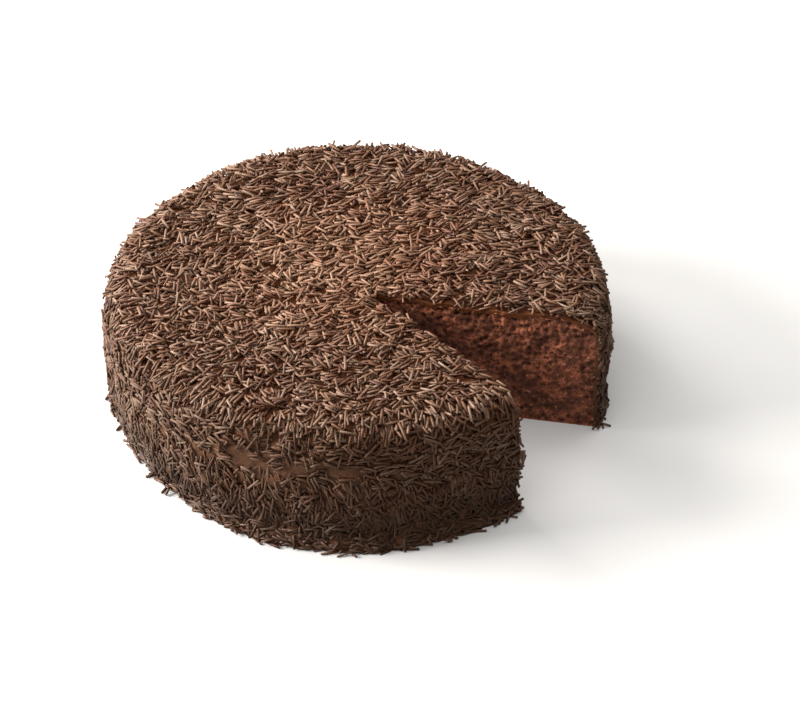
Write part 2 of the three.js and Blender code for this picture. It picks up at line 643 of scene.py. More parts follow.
def icing_depth(s, turn):
    """How far the icing lies below the cake's outer face, the height of the sprinkles on it."""
    depth = np.interp(s, [FRINGE_END, rim_end + 3 * MM], [ICING_DEPTH_TOP, ICING_DEPTH_SIDE])
    rise = skin_length - s
    tuck = TUCK_DEPTH * np.exp(-(((rise - TUCK_HEIGHT) / TUCK_SPREAD) ** 2))
    narrow = np.exp(-((turn_between(turn, NARROW_TURN) / NARROW_SPREAD) ** 2))
    narrow = NARROW_DEPTH * narrow * (1 - rise / NARROW_RISE).clip(0, 1)
    return depth + tuck + narrow - BARE_LIFT * bareness(s, turn) * ICING_DEPTH_SIDE


# %% [markdown]
# ## Cutting the slice out of a shell
#
# The slice is missing from the icing and from the sponge. A knife cut is a bisect: it draws a line of
# edges where a plane crosses the mesh. Two bisects draw the whole wedge, and the faces inside it are
# then deleted.

# %% Cut the wedge
def cut_slice(piece, point):
    edit(piece, "FACE")
    for cut in CUTS:
        bpy.ops.mesh.select_all(action="SELECT")
        across = (-math.sin(cut), math.cos(cut), 0)
        bpy.ops.mesh.bisect(plane_co=(*point, 0), plane_no=across)

    def inside(face):
        middle = face.calc_center_median()
        return in_slice(middle.x, middle.y, point=point)

    pick(piece, "faces", inside)
    bpy.ops.mesh.delete(type="FACE")
    bpy.ops.object.mode_set(mode="OBJECT")


# %% [markdown]
# ## The icing
#
# The icing is one spread layer with a rounded edge. Its half outline is drawn by extruding a single
# point step by step, then spun round the axis. Each corner is moved onto the measured coat, a little
# below the sprinkles' outer face. Two cloudy displacements make it as lumpy as spread icing, and the
# wedge is cut out. A wall thickness turned inwards gives it the band that shows at the cuts. That wall
# is then thinned unevenly, because the crumb it was spread on is uneven too.

# %% Draw and spin the outline
STEP_TOP, STEP_RIM, STEP_SIDE = 2.4 * MM, 1.7 * MM, 2.0 * MM
SPIN_STEPS = 280


def even_steps(low, high, step):
    return np.linspace(low, high, max(2, round((high - low) / step) + 1))


spin_s = np.concatenate([
    even_steps(0, flat_end, STEP_TOP),
    even_steps(flat_end, rim_end, STEP_RIM)[1:],
    even_steps(rim_end, skin_length, STEP_SIDE)[1:],
])
spin_r, spin_z, _, _ = even_outline(spin_s)
bpy.ops.object.select_all(action="DESELECT")
bpy.ops.mesh.primitive_plane_add(size=MM)
icing = bpy.context.object
icing.name = "icing"
edit(icing, "VERT")
bpy.ops.mesh.select_all(action="SELECT")
bpy.ops.mesh.merge(type="CENTER")
bpy.ops.transform.translate(value=(axis_x, axis_y, cake_height))
for step_r, step_z in zip(np.diff(spin_r), np.diff(spin_z)):
    bpy.ops.mesh.extrude_region_move(TRANSFORM_OT_translate={"value": (step_r, 0, step_z)})
bpy.ops.mesh.select_all(action="SELECT")
bpy.ops.mesh.spin(
    steps=SPIN_STEPS, angle=2 * math.pi, center=(axis_x, axis_y, 0), axis=(0, 0, 1)
)
bpy.ops.object.mode_set(mode="OBJECT")
mend(icing)
print("spun icing:", len(icing.data.vertices), "corners")

# %% Lay it on the measured coat
def coat_distance(places):
    """How far down the outline points near the coat lie."""
    from_axis = np.hypot(places[:, 0] - axis_x, places[:, 1] - axis_y)
    return np.interp(from_axis - places[:, 2], outline_r - outline_z, outline_s)


places = places_of(icing)
icing_turn = np.arctan2(places[:, 1] - axis_y, places[:, 0] - axis_x)
icing_s = coat_distance(places)
set_places(icing, skin_place(icing_s, icing_turn, icing_depth(icing_s, icing_turn)))


def clouds(name, size, depth=1):
    texture = bpy.data.textures.new(name, "CLOUDS")
    texture.noise_scale = size
    texture.noise_depth = depth
    return texture


for name, size, strength in (("spread", 12 * MM, 3.2 * MM), ("lumps", 5 * MM, 2.7 * MM)):
    apply_modifier(
        icing, "DISPLACE", texture=clouds(name, size), texture_coords="LOCAL",
        mid_level=0.5, strength=strength,
    )

icing_table = measure(icing, 130, 380)

# %% Cut the slice and give it a wall
ICING_WALL = 3.4 * MM
WALL_ON_TOP, WALL_ON_SIDE, UNEVEN_WALL = 0.5, 0.6, 0.75
WALL_PATCH = 8 * MM
CUT_REACH = 0.6 * MM

cut_slice(icing, slice_point)
outer_count = len(icing.data.vertices)
apply_modifier(icing, "SOLIDIFY", thickness=ICING_WALL, offset=-1.0, use_rim=True)
places = places_of(icing)
outer = places[:outer_count]
patchy = np.array([noise.noise(place / WALL_PATCH) for place in outer])
share = np.interp(coat_distance(outer), [flat_end, rim_end], [WALL_ON_TOP, WALL_ON_SIDE])
share = share * (1 - UNEVEN_WALL * patchy)
places[outer_count:] = outer + share[:, None] * (places[outer_count:] - outer)
for cut in CUTS:
    past, ahead = off_cut(*places[:, :2].T, cut)
    near = (ahead > 0) & (np.abs(past) < CUT_REACH)
    places[near, :2] -= past[near, None] * (-math.sin(cut), math.cos(cut))
places[:, 2] = np.maximum(places[:, 2], 0)
set_places(icing, places)
only(icing)
bpy.ops.object.shade_smooth_by_angle(angle=math.radians(50))
icing.data.materials.append(icing_finish)
print("icing:", triangles(icing), "triangles, up to", round(places[:, 2].max() / MM, 1), "mm")

# %% [markdown]
# ## The sponge
#
# The sponge only shows at its two cut faces, so that is where its detail goes. A flat disc is cut to the
# plan of the cake with its wedge missing, and its two cut edges are divided finely. The disc is extruded
# up to where its edge starts to round, and the uprights are divided too. From there each thin level is
# scaled towards the point of the slice, which rounds the edge and keeps both cuts flat. The crumb lies
# a little behind the cut icing. Last, each upright is moved in or out until it lies at an even depth
# under the icing.

# %% The plan of the sponge
CRUMB_BEHIND = 0.35 * MM
TIN_SIDES = 120
ON_PLANE = 0.002 * MM

half_angle = (far_cut - near_cut) / 2
middle_cut = (far_cut + near_cut) / 2
back_off = CRUMB_BEHIND / math.sin(half_angle)
point_x = slice_point[0] - back_off * math.cos(middle_cut)
point_y = slice_point[1] - back_off * math.sin(middle_cut)
sponge_run = rim_run - 3 * MM
sponge_drop = rim_drop - 2 * MM
sponge_shoulder = sponge_height - sponge_drop

bpy.ops.object.select_all(action="DESELECT")
bpy.ops.mesh.primitive_circle_add(
    vertices=TIN_SIDES, radius=tin_radius, fill_type="NGON", location=(axis_x, axis_y, 0)
)
sponge = bpy.context.object
sponge.name = "sponge_crumb"
bpy.ops.object.transform_apply(location=True, rotation=True, scale=True)
cut_slice(sponge, (point_x, point_y))


def off_crumb(places):
    """Of each cut face of the crumb: how far places lie off it, and how far ahead along it."""
    return [off_cut(places[..., 0], places[..., 1], cut, (point_x, point_y)) for cut in CUTS]


def on_cut(corner):
    return any(
        abs(off) < ON_PLANE and ahead > -ON_PLANE for off, ahead in off_crumb(np.array(corner.co))
    )


print("plan:", len(sponge.data.vertices), "corners,", len(sponge.data.polygons), "faces")

# %% Raise it level by level
FIRST_CUTS, SECOND_CUTS = 12, 13
UPRIGHT_CUTS = 84
ROUND_LEVELS = 26

edit(sponge, "EDGE")
for cuts in (FIRST_CUTS, SECOND_CUTS):
    pick(sponge, "edges", lambda e: e.is_boundary and all(on_cut(v) for v in e.verts))
    bpy.ops.mesh.subdivide(number_cuts=cuts)
bpy.ops.mesh.select_all(action="SELECT")
bpy.ops.mesh.extrude_region_move(TRANSFORM_OT_translate={"value": (0, 0, sponge_shoulder)})
pick(sponge, "edges", lambda e: abs(e.verts[0].co.z - e.verts[1].co.z) > 0.5 * sponge_shoulder)
bpy.ops.mesh.subdivide(number_cuts=UPRIGHT_CUTS)
bpy.ops.mesh.select_mode(type="FACE")
pick(sponge, "faces", lambda f: all(v.co.z > sponge_shoulder - 0.01 * MM for v in f.verts))
reached, width = 0.0, 1.0
for level in range(1, ROUND_LEVELS + 1):
    rise = math.pi / 2 * level / ROUND_LEVELS
    height = sponge_drop * math.sin(rise)
    new_width = 1 - sponge_run / tin_radius * (1 - math.cos(rise))
    bpy.ops.mesh.extrude_region_move(TRANSFORM_OT_translate={"value": (0, 0, height - reached)})
    bpy.ops.transform.resize(
        value=(new_width / width, new_width / width, 1), center_override=(point_x, point_y, 0)
    )
    reached, width = height, new_width
bpy.ops.object.mode_set(mode="OBJECT")
mend(sponge)

# %% Let it follow the icing
UNDER_ICING = 1.4 * MM

places = places_of(sponge)
turn = np.arctan2(places[:, 1] - axis_y, places[:, 0] - axis_x)
wanted = cake_radius - UNDER_ICING + read_table(icing_table, skin_length - places[:, 2], turn)
upright = 1 - ((places[:, 2] - sponge_shoulder) / sponge_drop).clip(0, 1)
grow = 1 + upright * (wanted / tin_radius - 1)
places[:, 0] = point_x + grow * (places[:, 0] - point_x)
places[:, 1] = point_y + grow * (places[:, 1] - point_y)
set_places(sponge, places)
edge_moved = (grow - 1) * tin_radius / MM
print("sponge:", len(sponge.data.vertices), "corners,", triangles(sponge), "triangles,",
      f"its edge moved by {edge_moved.min():.1f} to {edge_moved.max():.1f} mm")

# %% [markdown]
# ## The crumb of the cut faces
#
# A knife tears a moist crumb: the face waves a little, lumps stand out and pores open between them. Each
# is one displacement with a noise of its own size, and all of them act only on the corners of the two
# cut faces, inside their edges. How deep each corner then lies is kept as a number for the painted
# shade in the pores.

# %% Tear the crumb
FACE_DEPTH, FACE_EDGE, FACE_FOOT = 0.01 * MM, 0.3 * MM, 0.1 * MM
PORE_FROM, PORE_DEPTH = 0.4 * MM, 1.0 * MM

places = places_of(sponge)
cut_faces = [
    (np.abs(off) < FACE_DEPTH) & (ahead > FACE_EDGE) & (places[:, 2] > FACE_FOOT)
    for off, ahead in off_crumb(places)
]
torn = cut_faces[0] | cut_faces[1]
crumb_group = sponge.vertex_groups.new(name="torn")
crumb_group.add(np.flatnonzero(torn).tolist(), 1.0, "REPLACE")

pores = bpy.data.textures.new("pores", "VORONOI")
pores.noise_scale = 2.6 * MM
pores.distance_metric = "DISTANCE"
for texture, strength, middle in (
    (clouds("drag", 11 * MM), 1.0 * MM, 0.55),
    (clouds("crumb", 3.2 * MM, 3), 1.9 * MM, 0.6),
    (pores, 1.5 * MM, 0.75),
    (clouds("grain", 1.1 * MM, 2), 0.6 * MM, 0.5),
):
    apply_modifier(
        sponge, "DISPLACE", texture=texture, texture_coords="LOCAL", vertex_group="torn",
        mid_level=middle, strength=strength,
    )

depth = np.zeros(len(places))
for face, inward, (off, _) in zip(cut_faces, (1, -1), off_crumb(places_of(sponge))):
    depth[face] = inward * off[face]
print("crumb lies", (np.percentile(depth[torn], [1, 50, 99]) / MM).round(2), "mm behind its cut")
# Painted shade number: 0 near the crumb's face, rising to 1 deeper in the pores.
pore_shade_value = np.clip((depth - PORE_FROM) / PORE_DEPTH, 0, 1) * torn
pore_shade = sponge.data.attributes.new("pore_shade", "FLOAT", "POINT")
pore_shade.data.foreach_set("value", pore_shade_value.astype(np.float32))
sponge.vertex_groups.clear()
only(sponge)
bpy.ops.object.shade_smooth_by_angle(angle=math.radians(60))
sponge.data.materials.append(crumb_finish)

# %% [markdown]
# ## One chocolate sprinkle
#
# A sprinkle is a thread of chocolate, pressed out and broken into short rods with blunt, slightly worn
# ends. One is modelled here: a six-sided cylinder whose end faces are inset and pushed out a little.
# Thousands of copies follow, so it stays under fifty triangles. A plainer rod with flat ends stands in
# wherever later sprinkles nearly bury one. Each pattern is unwrapped once, and every copy gets a cell of
# its own on the map of its piece.

# %% Model the sprinkle
SPRINKLE_RADIUS = 0.5 * MM
SPRINKLE_LENGTH = 5 * MM
END_INSET, END_BULGE = 0.17 * MM, 0.13 * MM


def model_rod(name, sides, worn_ends):
    """A short rod along Z, round its own middle, kept as a pattern for the copies."""
    bpy.ops.object.select_all(action="DESELECT")
    bpy.ops.mesh.primitive_cylinder_add(
        vertices=sides, radius=SPRINKLE_RADIUS, depth=SPRINKLE_LENGTH, end_fill_type="NGON"
    )
    rod = bpy.context.object
    rod.name = name
    edit(rod, "FACE")
    if worn_ends:
        pick(rod, "faces", lambda face: abs(face.normal.z) > 0.9)
        bpy.ops.mesh.inset(thickness=END_INSET, depth=END_BULGE)
    bpy.ops.mesh.select_all(action="SELECT")
    bpy.ops.uv.smart_project(island_margin=0.02, scale_to_bounds=True)
    bpy.ops.object.mode_set(mode="OBJECT")
    return rod


class Pattern:
    """A modelled piece as arrays: corner places, triangles and their places on its own map."""

    def __init__(self, piece):
        mesh = piece.data
        mesh.calc_loop_triangles()
        self.places = places_of(piece)
        self.faces = np.array([t.vertices[:] for t in mesh.loop_triangles])
        loops = np.array([t.loops[:] for t in mesh.loop_triangles]).ravel()
        self.map = np.array([mesh.uv_layers.active.uv[loop].vector[:] for loop in loops])
        bpy.data.objects.remove(piece)
        print(f"pattern with {len(self.places)} corners and {len(self.faces)} triangles")


worn_rod = Pattern(model_rod("worn_rod", 6, True))
plain_rod = Pattern(model_rod("plain_rod", 5, False))

# %% [markdown]
# ## How the sprinkles come to lie
#
# On the cake each sprinkle rests on whatever was there before it, so they cross, lean and leave dark
# gaps. That is imitated by dropping them in small batches on a height map, which is a flat disc. For the
# coat, the distance from the disc's middle is the distance down the cake's outline, so the map has no
# seam, and its heights start as the lumps of the icing. For each sprinkle, heights are read along its
# line. It comes to rest on the one pair of points, one to each side of its middle, that holds it
# highest, and then it raises the map under itself.

# %% A bed for sprinkles
CELL = 0.4 * MM


class Bed:
    """A round height map that sprinkles are dropped on, read by distance s and turn."""

    def __init__(self, reach, radius_at, bend_at):
        self.reach = reach
        self.radius_at = radius_at
        self.bend_at = bend_at
        self.side = int(2 * reach / CELL)
        cells = (np.arange(self.side) + 0.5) * CELL - reach
        u, v = np.meshgrid(cells, cells, indexing="ij")
        self.s, self.turn = np.hypot(u, v), np.arctan2(v, u)
        self.x, self.y = self.plan(self.s, self.turn)

    def start(self, heights):
        """Sets the ground, which is kept as it was when sprinkles raise the heights."""
        self.heights, self.lumps = heights, heights.copy()

    def plan(self, s, turn):
        r = self.radius_at(s)
        return axis_x + r * np.cos(turn), axis_y + r * np.sin(turn)

    def cell(self, u, v):
        i, j = (((along + self.reach) / CELL).astype(int) for along in (u, v))
        return np.clip(i, 0, self.side - 1), np.clip(j, 0, self.side - 1)

    def line(self, s, turn, aim, along, aside=0.0):
        """Map places along a sprinkle's line and beside it. Aim 0 points down the outline."""
        stretch = np.maximum(s / np.maximum(self.radius_at(s), MM), 1)
        down_u, down_v = np.cos(turn), np.sin(turn)
        step_down = along * np.cos(aim) - aside * np.sin(aim)
        step_round = (along * np.sin(aim) + aside * np.cos(aim)) * stretch
        u = s * down_u + step_down * down_u - step_round * down_v
        v = s * down_v + step_down * down_v + step_round * down_u
        return u, v


# %% The bed on the coat
BEND_RADIUS = 15 * MM
NOTHING = -20 * MM


def coat_radius(s):
    return even_outline(np.clip(s, 0, skin_length))[0]


def rim_bend(s):
    """How much the outline curves at the rounded edge, per metre."""
    return np.where((s > flat_end) & (s < rim_end), 1 / BEND_RADIUS, 0)


coat_bed = Bed(skin_length + 6 * MM, coat_radius, rim_bend)
over_gap = in_slice(coat_bed.x, coat_bed.y)
bed_place = (coat_bed.s, coat_bed.turn)
smooth = read_table(coat_table, *bed_place) - icing_depth(*bed_place)
coat_bed.start(read_table(icing_table, *bed_place) - smooth)
coat_bed.heights[over_gap] = NOTHING
print(f"{coat_bed.side} by {coat_bed.side} cells, {over_gap.mean():.1%} of them over the gap")

# %% Coming to rest
REST_POINTS = 12
# Read along a sprinkle's middle and its two flanks, in half thicknesses: how far aside, and how much
# the round flank clears there.
FLANKS = ((0.0, 0.0), (0.6, 0.2), (-0.6, 0.2))
RIB_POINTS, RIBS = 26, np.array([-0.85, -0.45, 0, 0.45, 0.85])


def rest(bed, s, turn, aim, length, thickness):
    """Height and slope at which sprinkles come to rest on a bed."""
    t = (np.arange(REST_POINTS) + 0.5) / REST_POINTS - 0.5
    t = t[None, :] * length[:, None]
    s, turn, aim, thickness = (values[:, None] for values in (s, turn, aim, thickness))
    level = -np.inf
    for aside, clear in FLANKS:
        u, v = bed.line(s, turn, aim, t, aside * thickness)
        level = np.maximum(level, bed.heights[bed.cell(u, v)] - clear * thickness)
    level = level - 0.5 * bed.bend_at(s) * (np.cos(aim) * t) ** 2
    half = REST_POINTS // 2
    left_t, right_t = t[:, :half, None], t[:, None, half:]
    left, right = level[:, :half, None], level[:, None, half:]
    held = ((left * right_t - right * left_t) / (right_t - left_t)).reshape(len(s), -1)
    slope = ((right - left) / (right_t - left_t)).reshape(len(s), -1)
    best = held.argmax(axis=1)
    row = np.arange(len(s))
    return held[row, best], slope[row, best]


def raise_bed(bed, *lying):
    """Writes the tops of sprinkles that have come to rest into the height map."""
    s, turn, aim, length, thickness, held, slope = (values[:, None, None] for values in lying)
    t = np.linspace(-0.5, 0.5, RIB_POINTS)[None, :, None] * length
    w = RIBS[None, None, :] * thickness
    crown = np.sqrt(np.maximum(thickness**2 - w**2, 0))
    top = held + slope * t + thickness + crown
    np.maximum.at(bed.heights, bed.cell(*bed.line(s, turn, aim, t, w)), top)


# %% Dropping batch after batch
BATCH = 60
AIMS_TRIED = 3
STEEPEST, LOWEST, HIGHEST = 0.7, -2 * MM, 4.2 * MM
SHORTEST = 1.2 * MM
BED_MARGIN = 5 * MM
KNIFE_PARTS = 10
NAMES = ("s", "turn", "aim", "length", "thickness", "held", "slope", "base")


def overhang(count):
    """How far each sprinkle may reach over the gap: most hardly at all, a few by millimetres."""
    return rng.choice([0.3 * MM, 2.4 * MM, 4 * MM], count, p=[0.72, 0.23, 0.05])


def knife(bed, s, turn, aim, length, margin):
    """The length that each sprinkle has left when what reaches too far over the gap is cut off."""
    left = length
    for part in np.linspace(0, 1, KNIFE_PARTS + 1):
        for side in (-0.5, 0.5):
            u, v = bed.line(s, turn, aim, side * part * length)
            over = in_slice(*bed.plan(np.hypot(u, v), np.arctan2(v, u)), margin)
            left = np.where(over, np.minimum(left, (part - 0.5 / KNIFE_PARTS) * length), left)
    return left


def drop(bed, wanted, choose, aim_at, spread=1.4):
    """Drops sprinkles on a bed and returns how they lie, as one array for each of NAMES.

    Each sprinkle takes the lowest of a few aims, the knife trims it, and the lowest ones are kept.
    """
    rows, lying = [], 0
    while lying < wanted:
        s, turn, length, thickness = choose(int(BATCH * spread))
        tries = []
        for _ in range(AIMS_TRIED):
            aim = aim_at(s, turn)
            tries.append((aim, *rest(bed, s, turn, aim, length, thickness)))
        aims, helds, slopes = (np.array(values) for values in zip(*tries))
        lowest = helds.argmin(axis=0), np.arange(len(s))
        aim, held, slope = aims[lowest], helds[lowest], slopes[lowest]
        length = knife(bed, s, turn, aim, length, overhang(len(s)))
        base = bed.lumps[bed.cell(*bed.line(s, turn, aim, 0.0))]
        above = held - base
        good = (np.abs(slope) < STEEPEST) & (held > LOWEST) & (length > SHORTEST) & (above < HIGHEST)
        for side in (-0.5, 0.5):
            good &= np.hypot(*bed.line(s, turn, aim, side * length)) < bed.reach - BED_MARGIN
        order = np.flatnonzero(good)
        order = order[np.argsort(above[order])][:BATCH]
        row = [values[order] for values in (s, turn, aim, length, thickness, held, slope, base)]
        raise_bed(bed, *row[:-1])
        rows.append(row)
        lying += len(order)
    return {name: np.concatenate(values) for name, values in zip(NAMES, zip(*rows))}


def sizes(count):
    """Lengths and half thicknesses, as uneven as broken threads, with a few short crumbs."""
    length = np.clip(rng.normal(6.0, 1.35, count), 2.8, 9.5)
    thickness = np.clip(rng.normal(0.565, 0.055, count), 0.43, 0.72)
    crumb = rng.random(count) < 0.025
    length[crumb] = rng.uniform(1.5, 3.0, crumb.sum())
    thickness[crumb] = rng.uniform(0.6, 0.95, crumb.sum())
    return length * MM, thickness * MM


# %% [markdown]
# ## Sprinkles on the coat
#
# They fall thickly on the top and more thinly on the side, where many slide off and the bare places stay
# nearly empty. They fall by the pinch, so each patch of a few millimetres has its own density, its own
# tone and a way that most of its sprinkles lie. On the top most of them lie across the cake, as if swept
# on from one side, and are jumbled at the front left. Over the rounded edge most hang down like a
# fringe. Just below it many lie across, further down more hang, leaning a little, and at the foot they
# lie along it.

# %% Drop them on the coat
COAT_SPRINKLES = 16800
SIDE_SHARE, RIM_SHARE = 0.8, 1.25
GONE_FROM_BARE = 0.75
FOOT_BAND = 9 * MM
PINCH, RAGGED = 5.5 * MM, 0.22
pinches = int(2 * coat_bed.reach / PINCH) + 1
pinch_way = rng.uniform(0, np.pi, (pinches, pinches))
pinch_tone = rng.normal(0, 1, (pinches, pinches))
pinch_thin = rng.normal(0.1, 0.35, (pinches, pinches)).clip(0, 0.8)


def pinch_at(s, turn):
    """Which patch a sprinkle belongs to. The patches have ragged borders."""
    cells = []
    for along in (s * np.cos(turn), s * np.sin(turn)):
        ragged = (along + coat_bed.reach) / PINCH + rng.normal(0, RAGGED, len(s))
        cells.append(ragged.astype(int).clip(0, pinches - 1))
    return tuple(cells)


def anywhere(count):
    """Random places over the whole coat."""
    grid_s = np.linspace(0, skin_length, 200)
    share = np.interp(
        grid_s, [flat_end, FRINGE_START, FRINGE_END, FRINGE_END + 6 * MM],
        [1, RIM_SHARE, RIM_SHARE, SIDE_SHARE],
    )
    weight = coat_radius(grid_s) * share
    total = np.concatenate([[0], np.cumsum((weight[1:] + weight[:-1]) / 2)])
    s = np.interp(rng.uniform(0, total[-1], count), total, grid_s)
    return s, rng.uniform(-np.pi, np.pi, count)


def on_the_coat(count):
    """Places and sizes of sprinkles, fewer in thin patches and in the bare places."""
    s, turn = anywhere(count)
    gone = rng.random(count) < pinch_thin[pinch_at(s, turn)] + GONE_FROM_BARE * bareness(s, turn)
    s[gone], turn[gone] = anywhere(gone.sum())
    return s, turn, *sizes(count)


# %% The ways they point
ALIKE_TOP, ALIKE_SIDE, ALIKE_STRAY = 0.6, 0.42, 0.2
JUMBLED, JUMBLED_TURN = 0.55, math.radians(-140)
SWEPT_WAY, SWEPT_X, SWEPT_Y, SWEPT_SPREAD = 0.12, -3.0, 2.0, 0.5
SIDE_LEAN = 0.3


def hanging(s, turn):
    """How sprinkles on the coat point, in one random try."""
    aim = rng.uniform(-np.pi / 2, np.pi / 2, len(s))
    x, y = s * np.cos(turn), s * np.sin(turn)
    jumbled = JUMBLED * np.cos(turn - JUMBLED_TURN).clip(0, 1) * s / flat_end
    alike = rng.random(len(s)) < np.where(s < FRINGE_START, ALIKE_TOP - jumbled, ALIKE_SIDE)
    way = pinch_way[pinch_at(s, turn)]
    swept = SWEPT_WAY + SWEPT_X * x + SWEPT_Y * y + SWEPT_SPREAD * (way - np.pi / 2)
    way = np.where(s < FRINGE_START, swept, way)
    aim[alike] = (way - turn + rng.normal(0, ALIKE_STRAY, len(s)))[alike]
    for low, high, share, way, stray in (
        (FRINGE_START, FRINGE_END + 3 * MM, 0.65, 0, 0.35),
        (FRINGE_END + 3 * MM, rim_end + 15 * MM, 0.45, np.pi / 2, 0.3),
        (rim_end + 15 * MM, skin_length - FOOT_BAND, 0.6, SIDE_LEAN, 0.4),
        (skin_length - FOOT_BAND, skin_length, 0.6, np.pi / 2, 0.3),
    ):
        here = (s >= low) & (s < high) & (rng.random(len(s)) < share)
        aim[here] = rng.normal(way, stray, here.sum())
    return aim


coat_rods = drop(coat_bed, COAT_SPRINKLES, on_the_coat, hanging)
covered = coat_bed.heights[~over_gap & (coat_bed.s < skin_length)] / MM
print(len(coat_rods["s"]), "sprinkles,", f"{(covered > 0.1).mean():.0%} covered,",
      f"mean {covered.mean():.1f} mm, highest {covered.max():.1f} mm")

# %% [markdown]
# ## What still shows
#
# A sprinkle that others cover almost completely is left out later, and one that is mostly covered gets
# the plain rod. So the share of each that nothing lies over is worked out while the height map still
# fits them.

# %% How much of each sprinkle still shows
def shown_part(bed, rods):
    """The share of each sprinkle's upper side that nothing lies over."""
    column = {name: values[:, None] for name, values in rods.items()}
    t = np.linspace(-0.48, 0.48, 12)[None, :] * column["length"]
    covered = 0
    for aside in (-0.5, 0, 0.5):
        u, v = bed.line(column["s"], column["turn"], column["aim"], t, aside * column["thickness"])
        crown = 1 + math.sqrt(1 - aside**2)
        top = column["held"] + column["slope"] * t + crown * column["thickness"]
        covered = covered + (bed.heights[bed.cell(u, v)] > top + 0.12 * MM)
    return 1 - covered.mean(axis=1) / 3


shown = shown_part(coat_bed, coat_rods)
print((shown > 0.5).sum(), "sprinkles show more than half,", (shown < 0.06).sum(), "hardly at all")

# %% [markdown]
# ## Unruly ones
#
# A heap that has only settled looks combed. On a real cake some sprinkles are caught as they fall and
# stand off at an angle, most of all over the rounded edge, where many stick in the icing by one end and
# make a fringe. On the side a hand has pressed them in, half way and more, so that it is much smoother
# than the top. Low down it pressed hardest and on the left least, and the back edge is flatter too.

# %% Press the side and lift the fringe
PRESS_TOP, PRESS_BACK_EDGE, PRESS_SIDE, PRESS_LOOSE = 0.85, 0.65, 0.35, 0.45
FRONT_SINE, LOOSE_TURN = 0.45, math.radians(185)
LOW_FROM, LOW_SPAN, PRESS_LOW = skin_length - 32 * MM, 14 * MM, 0.4
SUNK_SIDE, SUNK_BARE = 0.5 * MM, 0.9 * MM
UNRULY_FRONT_FRINGE, UNRULY_BACK_FRINGE, UNRULY_TOP, UNRULY_SIDE = 0.5, 0.3, 0.06, 0.05
TILT, TILT_FRINGE, TILT_LIFT = 0.26, 0.12, 0.3

count = len(coat_rods["s"])
rod_s, rod_turn, rod_aim = (coat_rods[name] for name in ("s", "turn", "aim"))
on_top = rod_s < flat_end
in_front = np.sin(rod_turn) < FRONT_SINE
fringe = (rod_s > FRINGE_START) & (rod_s < FRINGE_END + 2 * MM) & (np.abs(np.cos(rod_aim)) > 0.6)
share = np.where(on_top, UNRULY_TOP, UNRULY_SIDE)
share = np.where(fringe, np.where(in_front, UNRULY_FRONT_FRINGE, UNRULY_BACK_FRINGE), share)
unruly = rng.random(count) < share
tilt = np.abs(rng.normal(0, TILT, count) + TILT_FRINGE * fringe).clip(0, STEEPEST) * unruly
tilt_way = np.where(on_top & (rng.random(count) < 0.5), -1, 1) * np.where(np.cos(rod_aim) < 0, -1, 1)

# Towards the left the side is pressed less and, where the key lamp falls, given painted light.
looser_and_lit = np.cos(rod_turn - LOOSE_TURN).clip(0, 1) ** 2
low_side = ((rod_s - LOW_FROM) / LOW_SPAN).clip(0, 1)
down_side = ((rod_s - FRINGE_END) / (5 * MM)).clip(0, 1)
press_side = PRESS_SIDE + (PRESS_LOOSE - PRESS_SIDE) * looser_and_lit * (rod_s < skin_length - FOOT_BAND)
press_side = press_side * (1 - PRESS_LOW * low_side)
press_edge = np.where(in_front | (rod_s < flat_end - 4 * MM), PRESS_TOP, PRESS_BACK_EDGE)
press = press_edge + (press_side - press_edge) * down_side
sink = np.interp(rod_s, [FRINGE_END, FRINGE_END + 5 * MM], [0, SUNK_SIDE])
sink = sink * rng.uniform(0.5, 1.5, count) + SUNK_BARE * bareness(rod_s, rod_turn)
above = coat_rods["held"] - coat_rods["base"]
lift = TILT_LIFT * tilt * coat_rods["length"]
coat_rods["held"] = coat_rods["base"] + press * above - sink + lift
coat_rods["slope"] = press * coat_rods["slope"] + tilt * tilt_way
print(int(unruly.sum()), "stand off")

# %% [markdown]
# ## Loose sprinkles round the foot
#
# Those that slid off lie round the foot, flat on the table or leaning on the cake. They are dropped on a
# second, plain height map: zero on the table, and rising steeply where the cake's side begins. A few lie
# further out than the rest.

# %% Drop them round the foot
FOOT_SPRINKLES = 1020
WALL_RISE, WALL_TOP = 1.3, 7 * MM
FOOT_INSIDE = 3.2 * MM
STRAY_SHARE, STRAY_REACH, FURTHEST = 0.08, 2.8, 5.5
ALONG_STRAY, ANY_WAY_SHARE = 0.45, 0.25

foot_turn = np.linspace(-np.pi, np.pi, 361)
foot_s = np.full_like(foot_turn, skin_length - 2 * MM)
foot_place = skin_place(foot_s, foot_turn, icing_depth(foot_s, foot_turn))
foot_radius = np.hypot(foot_place[:, 0] - axis_x, foot_place[:, 1] - axis_y)

table_bed = Bed(cake_radius + 16 * MM, np.positive, np.zeros_like)
inside_foot = np.interp(table_bed.turn, foot_turn, foot_radius) - FOOT_INSIDE - table_bed.s
inside_foot[in_slice(table_bed.x, table_bed.y)] = 0
table_bed.start(np.clip(WALL_RISE * inside_foot, 0, WALL_TOP))


def round_the_foot(count):
    """Random places just outside the foot, fewer further out."""
    turn = rng.uniform(-np.pi, np.pi, count)
    stray = np.where(rng.random(count) < STRAY_SHARE, STRAY_REACH, 1.0)
    away = (stray * rng.exponential(1, count)).clip(0, FURTHEST) * MM - FOOT_INSIDE
    s = np.interp(turn, foot_turn, foot_radius) + away
    s[in_slice(*table_bed.plan(s, turn), 0.5 * MM)] = 0
    return s, turn, *sizes(count)


def lying_along(s, turn):
    aim = rng.normal(np.pi / 2, ALONG_STRAY, len(s))
    loose = rng.random(len(s)) < ANY_WAY_SHARE
    aim[loose] = rng.uniform(-np.pi / 2, np.pi / 2, loose.sum())
    return aim


foot_rods = drop(table_bed, FOOT_SPRINKLES, round_the_foot, lying_along, 3)
print(len(foot_rods["s"]), "round the foot")
